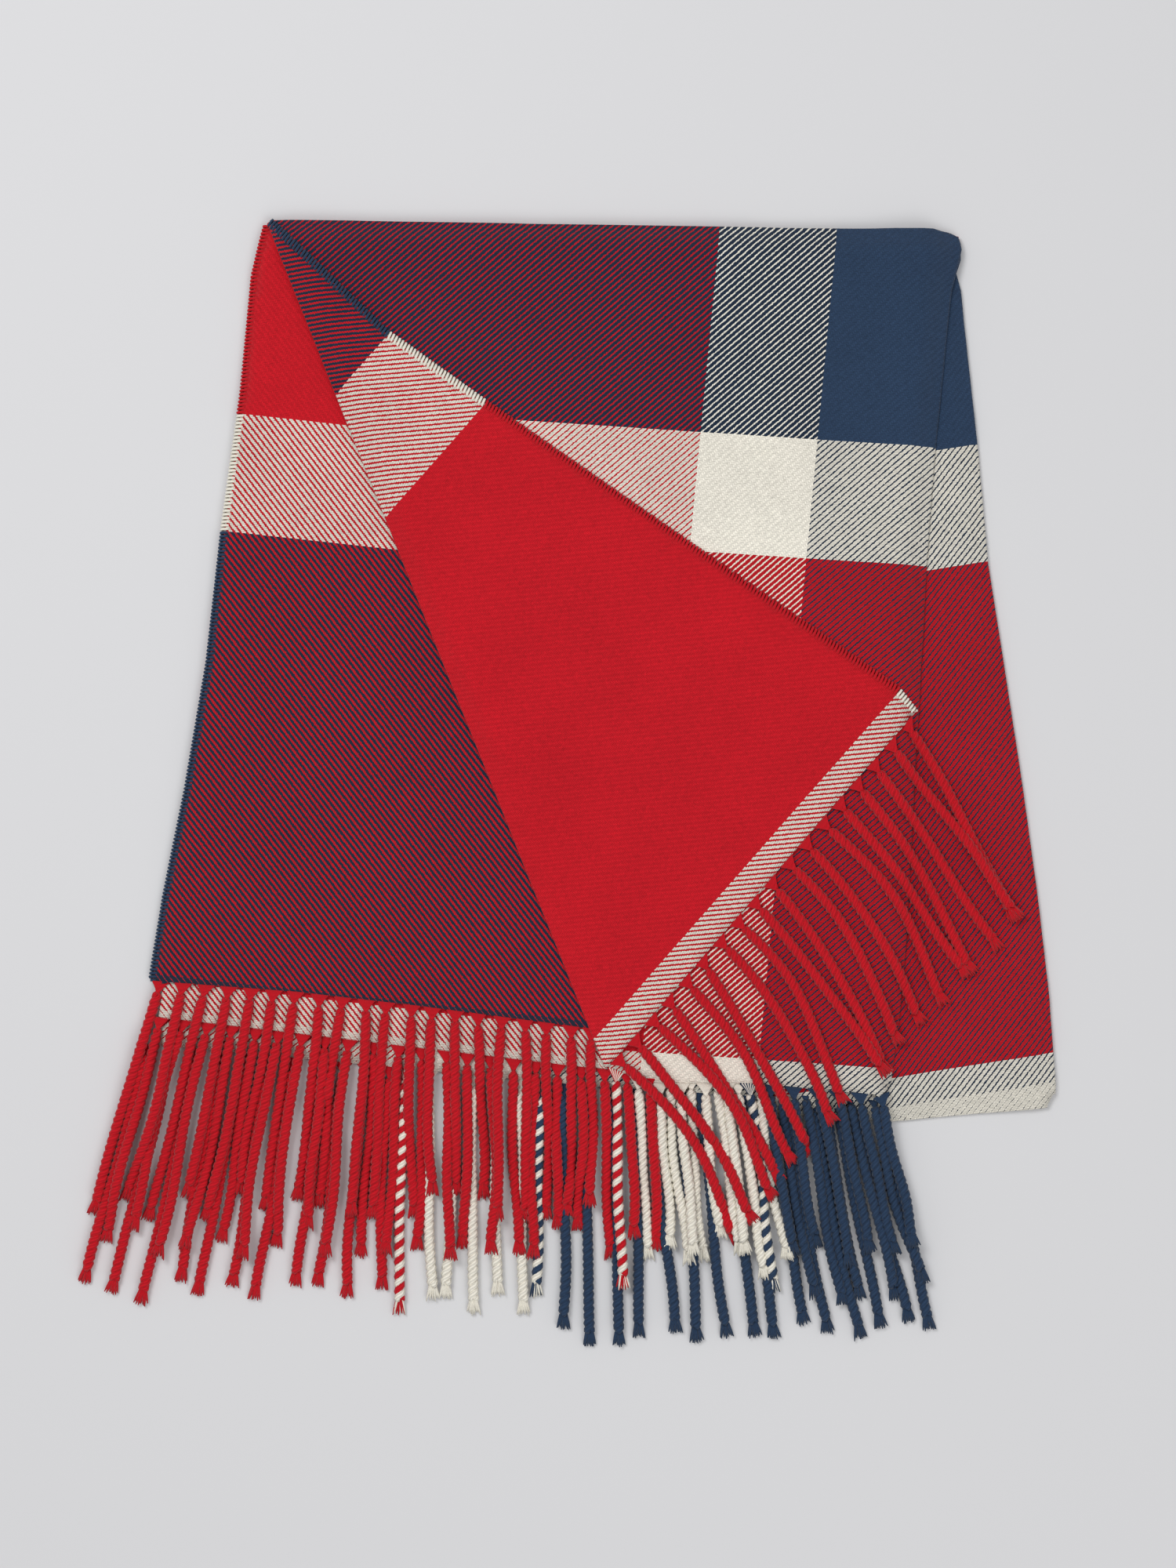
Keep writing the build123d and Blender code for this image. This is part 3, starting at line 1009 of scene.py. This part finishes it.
def fan_x(x: float, y: float) -> float:
    """Follows a fan line down, so that rows at different heights hang between each other.

    Args:
        x: X where the line crosses the front fringed edges.
        y: How far down to follow it.

    Returns:
        X at that height.
    """
    lean = 0.0
    if x < -100:
        lean = -LEFT_LEAN * (-100 - x) / 200
    elif x > 0:
        lean = RIGHT_LEAN * x / 236
    start = along(LEFT_FOOT, x)[1] if x < TURN_FOOT[0] else along(FRONT_FOOT, x)[1]
    return x + lean * (start - y)


@dataclass(frozen=True)
class TasselRow:
    """A row of tassels of one colour, or of two plied together.

    Args:
        node: The CAD node it stands for.
        edge: The fringed edge.
        first: X of the first head.
        last: X of the last head.
        count: How many tassels.
    """

    node: str
    edge: Line
    first: float
    last: float
    count: int

    @property
    def layer(self) -> str:
        """The cloth layer they hang from."""
        return self.node.split("_")[0] + "_panel"

    @property
    def colour(self) -> str:
        """The colour word that their name ends with."""
        return self.node.split("_")[-1]

    def fan(self) -> np.ndarray:
        """Gives the fan line of each tassel, as X where it crosses the front fringed edges."""
        chance = random.Random(self.node)
        spread = (self.last - self.first) / (self.count - 1)
        loose = HEAD_LOOSE if self.count > 2 else 0.0
        return np.array([self.first + spread * index + chance.uniform(-loose, loose)
                         for index in range(self.count)])

    def heads(self) -> np.ndarray:
        """Gives the places of the heads in plan, one row each, where the fan lines meet the edge."""
        return np.array([along(self.edge, fan_x(x, along(self.edge, x)[1])) for x in self.fan()])

    def tip_y(self) -> float:
        """Gives Y of the lowest tip, as the CAD node has it."""
        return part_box(self.node)[0].y / MM


# The yarns of the two plies, for each tassel of a row in turn.
PLIES: dict[str, list[tuple[Yarn, Yarn]]] = {
    "red": [(Yarn.RED, Yarn.RED)],
    "cream": [(Yarn.CREAM, Yarn.CREAM)],
    "navy": [(Yarn.NAVY, Yarn.NAVY)],
    "mixed": [(Yarn.RED, Yarn.CREAM), (Yarn.NAVY, Yarn.CREAM)],
}
FRONT_HEADS = [34.0 + i * TASSEL_PITCH for i in range(13)]

ROWS: list[TasselRow] = [
    TasselRow("under_fringe_red", UNDER_FOOT, -294.8, -128.5, 11),
    TasselRow("under_fringe_mixed", UNDER_FOOT, -119.0, -21.0, 2),
    TasselRow("under_fringe_cream", UNDER_FOOT, -103.0, -37.0, 5),
    TasselRow("under_fringe_navy", UNDER_FOOT, -4.0, 226.0, 15),
    TasselRow("back_fringe_red", BACK_FOOT, -290.7, 58.5, 22),
    TasselRow("back_fringe_cream", BACK_FOOT, 74.5, 139.3, 5),
    TasselRow("back_fringe_navy", BACK_FOOT, 155.5, 220.3, 5),
    TasselRow("left_fringe_red", LEFT_FOOT, -299.0, 17.0, 20),
    TasselRow("front_fringe_mixed", FRONT_FOOT, FRONT_HEADS[0], FRONT_HEADS[6], 2),
    TasselRow("front_fringe_cream", FRONT_FOOT, FRONT_HEADS[1], FRONT_HEADS[5], 5),
    TasselRow("front_fringe_navy", FRONT_FOOT, FRONT_HEADS[7], FRONT_HEADS[12], 6),
]


@dataclass
class Fringe:
    """Twisted tassels: gathered warp ends, a two-ply cord and a short frayed tip."""

    ply_radius: float = 2.6
    ply_offset: float = 1.65
    twist: float = 10.6
    step: float = 1.5
    head_length: float = 11.0
    brush_length: float = 12.0
    brush_hairs: int = 10
    strands: int = 6
    strand_radius: float = 0.8
    head_spread: float = 0.37
    head_pinch: float = 0.14
    bow: float = 3.2
    tip_rise: float = 23.0
    tip_sway: float = 4.0
    flap_count: int = 18
    flap_turn: float = -57.0
    flap_length: float = 163.0
    flap_loose: float = 5.0
    flap_bow: float = 13.0

    def tassel(self, head: np.ndarray, tip: np.ndarray, edge_run: np.ndarray, drape: Drape,
               cloth_z: float, plies: tuple[int, int], bows: tuple[float, float], chance: random.Random,
               parts: MeshParts) -> None:
        """Adds one tassel.

        Args:
            head: Where it leaves the cloth, in plan.
            tip: Where it ends, in plan.
            edge_run: The direction of the cloth's edge.
            drape: What it rests on.
            cloth_z: The height of the cloth's middle at its head.
            plies: The material numbers of its two plies.
            bows: The least and the most that it bows to its left.
            chance: Where its small differences come from.
            parts: What it is added to.
        """
        span = tip - head
        length = float(np.hypot(*span))
        ahead = span / length
        aside = np.array([-ahead[1], ahead[0]])
        count = int((length - self.brush_length) / self.step)
        t = np.linspace(0, 1, count)
        bow, wave, phase = chance.uniform(*bows), chance.uniform(0.6, 2.5), chance.uniform(0, ANY_PHASE)
        sway = bow * np.sin(t * math.pi) + wave * np.sin(t * 7 + phase) * t
        reach = t * (length - self.brush_length)
        plan = head + ahead * reach[:, None] + aside * sway[:, None]
        under = np.max([drape.read(drape.top, plan + aside * s) for s in (-3.0, 0.0, 3.0)], axis=0)
        radius = self.ply_radius + self.ply_offset
        z = under + radius
        z[reach < self.head_length] = np.maximum(cloth_z, z[reach < self.head_length] - radius * 0.5)
        for _ in range(10):
            z[1:-1] = np.maximum((z[:-2] + z[2:]) / 2, z[1:-1] - 0.25)
        core = np.column_stack([plan, z])
        begin = int(np.searchsorted(reach, self.head_length * 0.75))
        cord = core[begin:]
        turn = reach[begin:] / self.twist * 2 * math.pi + phase
        across = np.append(aside, 0.0)
        for ply, material in enumerate(plies):
            angle = turn + ply * math.pi
            path = cord + self.ply_offset * (np.cos(angle)[:, None] * across
                                             + np.sin(angle)[:, None] * np.array([0, 0, 0.9]))
            ends = np.minimum(1.0, 0.72 + 0.28 * np.arange(len(cord)) / 4)
            parts.tube(path, self.ply_radius * ends, 6, material)
            self.gathered(head, cord[1], edge_run, cloth_z, ply, material, parts)
        self.brush(cord[-1], ahead, aside, float(under[-1]), plies, chance, parts)
        drape.press(core, radius)

    def gathered(self, head: np.ndarray, join: np.ndarray, edge_run: np.ndarray, cloth_z: float, ply: int,
                 material: int, parts: MeshParts) -> None:
        """Adds one ply's warp ends, drawn together from the cloth's edge to the top of the cord."""
        middle = self.strands - 0.5
        for strand in range(self.strands):
            offset = (strand * 2 + ply - middle) / middle * TASSEL_PITCH * self.head_spread
            start = np.append(head + edge_run * offset, cloth_z + 0.7)
            t = np.linspace(0, 1, 5)[:, None]
            path = start + (join - start) * t
            path[:, :2] -= edge_run * (offset * self.head_pinch * np.sin(t * math.pi))
            parts.tube(path, np.full(5, self.strand_radius), 5, material)

    def brush(self, end: np.ndarray, ahead: np.ndarray, aside: np.ndarray, floor: float,
              plies: tuple[int, int], chance: random.Random, parts: MeshParts) -> None:
        """Adds the loose fibres at a tassel's tip."""
        middle = (self.brush_hairs - 1) / 2
        for strand in range(self.brush_hairs):
            spread = (strand - middle) / middle
            t = np.linspace(0, 1, 4)[:, None]
            reach = self.brush_length * chance.uniform(0.75, 1.0)
            path = end + np.append(ahead, 0.0) * reach * t
            path[:, :2] += aside * (spread * (2.0 + 2.8 * t) + chance.uniform(-0.5, 0.5) * t)
            path[:, 2] += ((floor + 1.0 - end[2]) * t[:, 0] * 0.6) + chance.uniform(-0.7, 0.7)
            parts.tube(path, np.array([1.1, 1.0, 0.8, 0.35]), 4, plies[strand % 2])

    def hanging_row(self, row: TasselRow, cloth: WovenCloth, drape: Drape,
                    finishes: ClothFinishes) -> bpy.types.Object:
        """Builds one row of hanging tassels.

        Args:
            row: The row.
            cloth: The folded cloth they hang from.
            drape: What they rest on.
            finishes: The materials.

        Returns:
            The piece.
        """
        chance = random.Random(row.node + " tips")
        plies = PLIES[row.colour]
        yarns = list(dict.fromkeys(y for pair in plies for y in pair))
        parts = MeshParts()
        tip_y = row.tip_y()
        for index, (line, head) in enumerate(zip(row.fan(), row.heads())):
            x = head[0]
            tip = np.array([0.0, tip_y + chance.uniform(0, self.tip_rise)])
            tip[0] = fan_x(line, tip[1]) + chance.uniform(-self.tip_sway, self.tip_sway)
            before, after = np.array(along(row.edge, x - 4)), np.array(along(row.edge, x + 4))
            run = unit(after - before)
            z = float(drape.read(cloth.middles[row.layer], head[None])[0])
            first, second = plies[index % len(plies)]
            pair = (yarns.index(first), yarns.index(second))
            self.tassel(head, tip, run, drape, z, pair, (-self.bow, self.bow), chance, parts)
        piece = parts.build(row.node.replace("fringe", "tassels"), [finishes.yarns[y] for y in yarns])
        declare(piece, row.colour + "_yarn", row.node)
        return piece

    def flap_row(self, cloth: WovenCloth, drape: Drape, finishes: ClothFinishes) -> bpy.types.Object:
        """Builds the turned-back corner's tassels, which lie across the front layer.

        Args:
            cloth: The folded cloth.
            drape: What they rest on.
            finishes: The materials.

        Returns:
            The piece.
        """
        chance = random.Random("flap")
        parts = MeshParts()
        corner, foot = np.array(TURNED_CORNER), np.array(TURN_FOOT)
        run = unit(foot - corner)
        for index in range(self.flap_count):
            head = corner + (foot - corner) * (index + 0.5) / self.flap_count
            angle = math.radians(self.flap_turn + chance.uniform(-self.flap_loose, self.flap_loose))
            length = self.flap_length + chance.uniform(-self.flap_loose, self.flap_loose)
            tip = head + np.array([math.cos(angle), math.sin(angle)]) * length
            z = float(drape.read(cloth.middles["corner_flap"], head[None])[0])
            self.tassel(head, tip, run, drape, z, (0, 0), (0.0, self.flap_bow), chance, parts)
        piece = parts.build("flap_tassels_red", [finishes.yarns[Yarn.RED]])
        declare(piece, "red_yarn", "flap_fringe_red")
        return piece


@dataclass
class WhippedEdge:
    """A side edge overcast with loops of yarn."""

    pitch: float = 2.7
    reach: float = 2.8
    yarn_radius: float = 1.0
    steps: int = 9

    def build(self, name: str, line: Line, panel: str, cloth: WovenCloth, drape: Drape,
              finishes: ClothFinishes) -> bpy.types.Object:
        """Winds the yarn along one edge.

        Args:
            name: The CAD node it stands for.
            line: The edge.
            panel: The layer whose edge it is.
            cloth: The folded cloth.
            drape: The grid.
            finishes: The materials.

        Returns:
            The piece.
        """
        plan = divide(line, self.pitch / self.steps)
        run = np.gradient(plan, axis=0)
        run /= np.linalg.norm(run, axis=1)[:, None]
        out = np.column_stack([-run[:, 1], run[:, 0]])
        far = np.concatenate([[0], np.cumsum(np.hypot(*np.diff(plan, axis=0).T))])
        turn = far / self.pitch * 2 * math.pi
        z = drape.read(cloth.middles[panel], plan)
        path = np.column_stack([plan + out * (self.reach * np.cos(turn))[:, None],
                                z + (CLOTH_THICK / 2 + 0.5) * np.sin(turn)])
        flat = next(p.cloth for p in PANELS if p.name == panel).flat(plan)
        parts = MeshParts()
        parts.tube(path, np.full(len(path), self.yarn_radius), 5, 0, flat)
        piece = parts.build(name.replace("selvedge", "whipped_edge"), [finishes.edging])
        declare(piece, "selvedge_yarn", name)
        return piece


@dataclass
class Studio:
    """A pale surface, soft light from above, and a camera that looks straight down."""

    height: float = 2.8
    view_height: float = 1.15
    centre_x: float = 0.0138

    def camera(self) -> None:
        """Adds the camera."""
        data = bpy.data.cameras.new("overhead")
        data.sensor_fit = "VERTICAL"
        data.sensor_height = 36.0
        data.lens = 36.0 * self.height / self.view_height
        camera = bpy.data.objects.new("overhead", data)
        camera.location = (self.centre_x, 0.0, self.height)
        bpy.context.scene.collection.objects.link(camera)
        bpy.context.scene.camera = camera

    def surface(self) -> None:
        """Adds the pale surface that the throw lies on."""
        bpy.ops.object.select_all(action="DESELECT")
        bpy.ops.mesh.primitive_plane_add(size=14.0, location=(0, 0, -0.0005))
        floor = bpy.context.active_object
        floor.name = "studio_surface"
        material = bpy.data.materials.new("pale_paper")
        material.use_nodes = True
        shader = material.node_tree.nodes["Principled BSDF"]
        shader.inputs["Base Color"].default_value = (0.70, 0.70, 0.715, 1.0)
        shader.inputs["Roughness"].default_value = 0.95
        floor.data.materials.append(material)

    def lights(self) -> None:
        """Adds a large soft light at the upper left, a fill at the right and an even surround."""
        lamps = (("key", (-1.1, 1.3, 2.7), 1.3, 45.0), ("fill", (1.2, -1.7, 2.8), 2.2, 33.0))
        for name, place, size, power in lamps:
            data = bpy.data.lights.new(name, "AREA")
            data.size = size
            data.energy = power
            light = bpy.data.objects.new(name, data)
            light.location = place
            light.rotation_euler = (-Vector(place)).to_track_quat("-Z", "Y").to_euler()
            bpy.context.scene.collection.objects.link(light)
        world = bpy.data.worlds.new("surround")
        world.use_nodes = True
        world.node_tree.nodes["Background"].inputs[0].default_value = (1.0, 1.0, 1.0, 1.0)
        world.node_tree.nodes["Background"].inputs[1].default_value = 0.43
        bpy.context.scene.world = world
        bpy.context.scene.view_settings.view_transform = "Standard"


def main() -> None:
    """Builds the throw, layer by layer, and then the studio round it."""
    logging.basicConfig(level=logging.INFO, format="%(name)s: %(message)s")
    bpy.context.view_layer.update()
    studio = Studio()
    studio.camera()
    drape, finishes = Drape(), ClothFinishes()
    cloth = WovenCloth()
    sheet = cloth.build(drape, finishes)
    fringe, edge = Fringe(), WhippedEdge()
    trims = [fringe.hanging_row(row, cloth, drape, finishes) for row in ROWS]
    trims.append(fringe.flap_row(cloth, drape, finishes))
    trims.append(edge.build("flap_selvedge", FLAP_SIDE, "corner_flap", cloth, drape, finishes))
    trims.append(edge.build("left_selvedge", LEFT_SIDE, "left_panel", cloth, drape, finishes))
    studio.surface()
    studio.lights()


if __name__ == "__main__":
    main()
